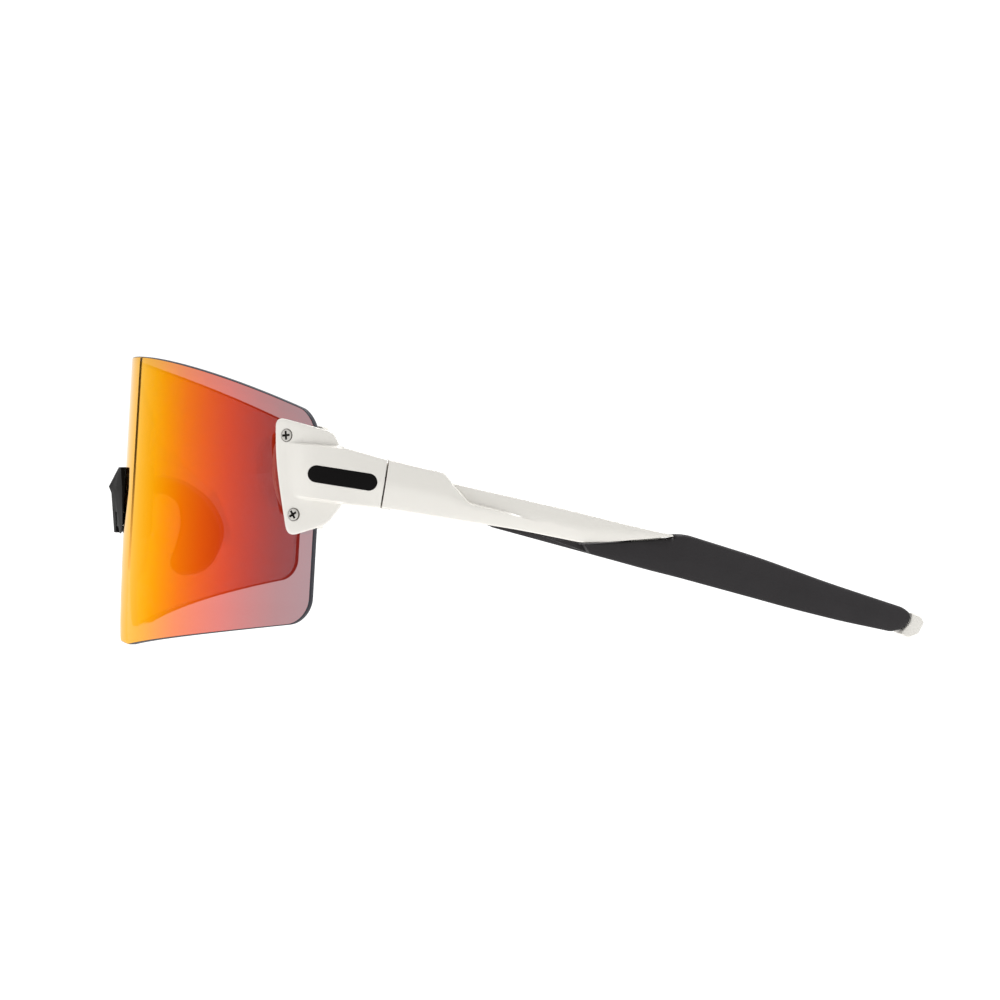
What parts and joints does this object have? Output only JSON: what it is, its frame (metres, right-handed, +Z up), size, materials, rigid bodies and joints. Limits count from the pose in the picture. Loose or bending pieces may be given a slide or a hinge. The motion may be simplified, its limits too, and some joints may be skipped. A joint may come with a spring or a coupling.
{
  "type": "wraparound sport sunglasses",
  "caption": "Wraparound sport sunglasses: a mirrored one-piece shield lens screwed between end plates, folding temples with rubber sleeves, and a nose bridge with splaying pads.",
  "frame": {"origin": "bottom centre of the whole object's box: on the surface that the glasses rest on, midway between the sides and between front and temple tips", "axes": "+X to the wearer's left, -Y to the front, +Y along the temples, +Z up"},
  "size_m": [0.144, 0.1606, 0.0591],
  "materials": {
    "mirror_lens": "tinted polycarbonate with an orange to red mirror coating, see-through",
    "white_gloss": "white moulded nylon, soft gloss",
    "satin_black": "black moulded plastic, satin",
    "accent_black": "flat black inlay",
    "rubber_black": "soft-touch black rubber, matt",
    "pad_rubber": "soft black rubber, matt",
    "steel": "small turned screws and pins, bright",
    "brass": "turned brass"
  },
  "bodies": {
    "front": {"shield_lens": "mirror_lens", "bridge_cover": "satin_black", "nose_saddle": "satin_black", "endpiece_left": "white_gloss", "backplate_left": "white_gloss", "accent_left": "accent_black", "hinge_pin_left": "steel", "lens_screw_left_upper": "steel", "lens_insert_left_upper": "brass", "lens_screw_left_lower": "steel", "lens_insert_left_lower": "brass", "endpiece_right": "white_gloss", "backplate_right": "white_gloss", "accent_right": "accent_black", "hinge_pin_right": "steel", "lens_screw_right_upper": "steel", "lens_insert_right_upper": "brass", "lens_screw_right_lower": "steel", "lens_insert_right_lower": "brass"},
    "temple_left": {"temple_arm_left": "white_gloss", "temple_sleeve_left": "rubber_black"},
    "temple_right": {"temple_arm_right": "white_gloss", "temple_sleeve_right": "rubber_black"},
    "pad_left": {"nose_pad_left": "pad_rubber", "nose_wire_left": "steel"},
    "pad_right": {"nose_pad_right": "pad_rubber", "nose_wire_right": "steel"}
  },
  "joints": [
    {"name": "temple_left_fold", "type": "hinge", "parent": "front", "child": "temple_left", "pos_m": [0.0672, -0.0258, 0.0314], "axis": [0, 0.1736, 0.9848], "range_deg": [0, 78]},
    {"name": "temple_right_fold", "type": "hinge", "parent": "front", "child": "temple_right", "pos_m": [-0.0672, -0.0258, 0.0314], "axis": [0, -0.1736, -0.9848], "range_deg": [0, 92]},
    {"name": "pad_left_splay", "type": "hinge", "parent": "front", "child": "pad_left", "pos_m": [0.0075, -0.0719, 0.0321], "axis": [0, 1, 0], "range_deg": [-8, 8]},
    {"name": "pad_right_splay", "type": "hinge", "parent": "front", "child": "pad_right", "pos_m": [-0.0075, -0.0719, 0.0321], "axis": [0, -1, 0], "range_deg": [-8, 8]}
  ]
}
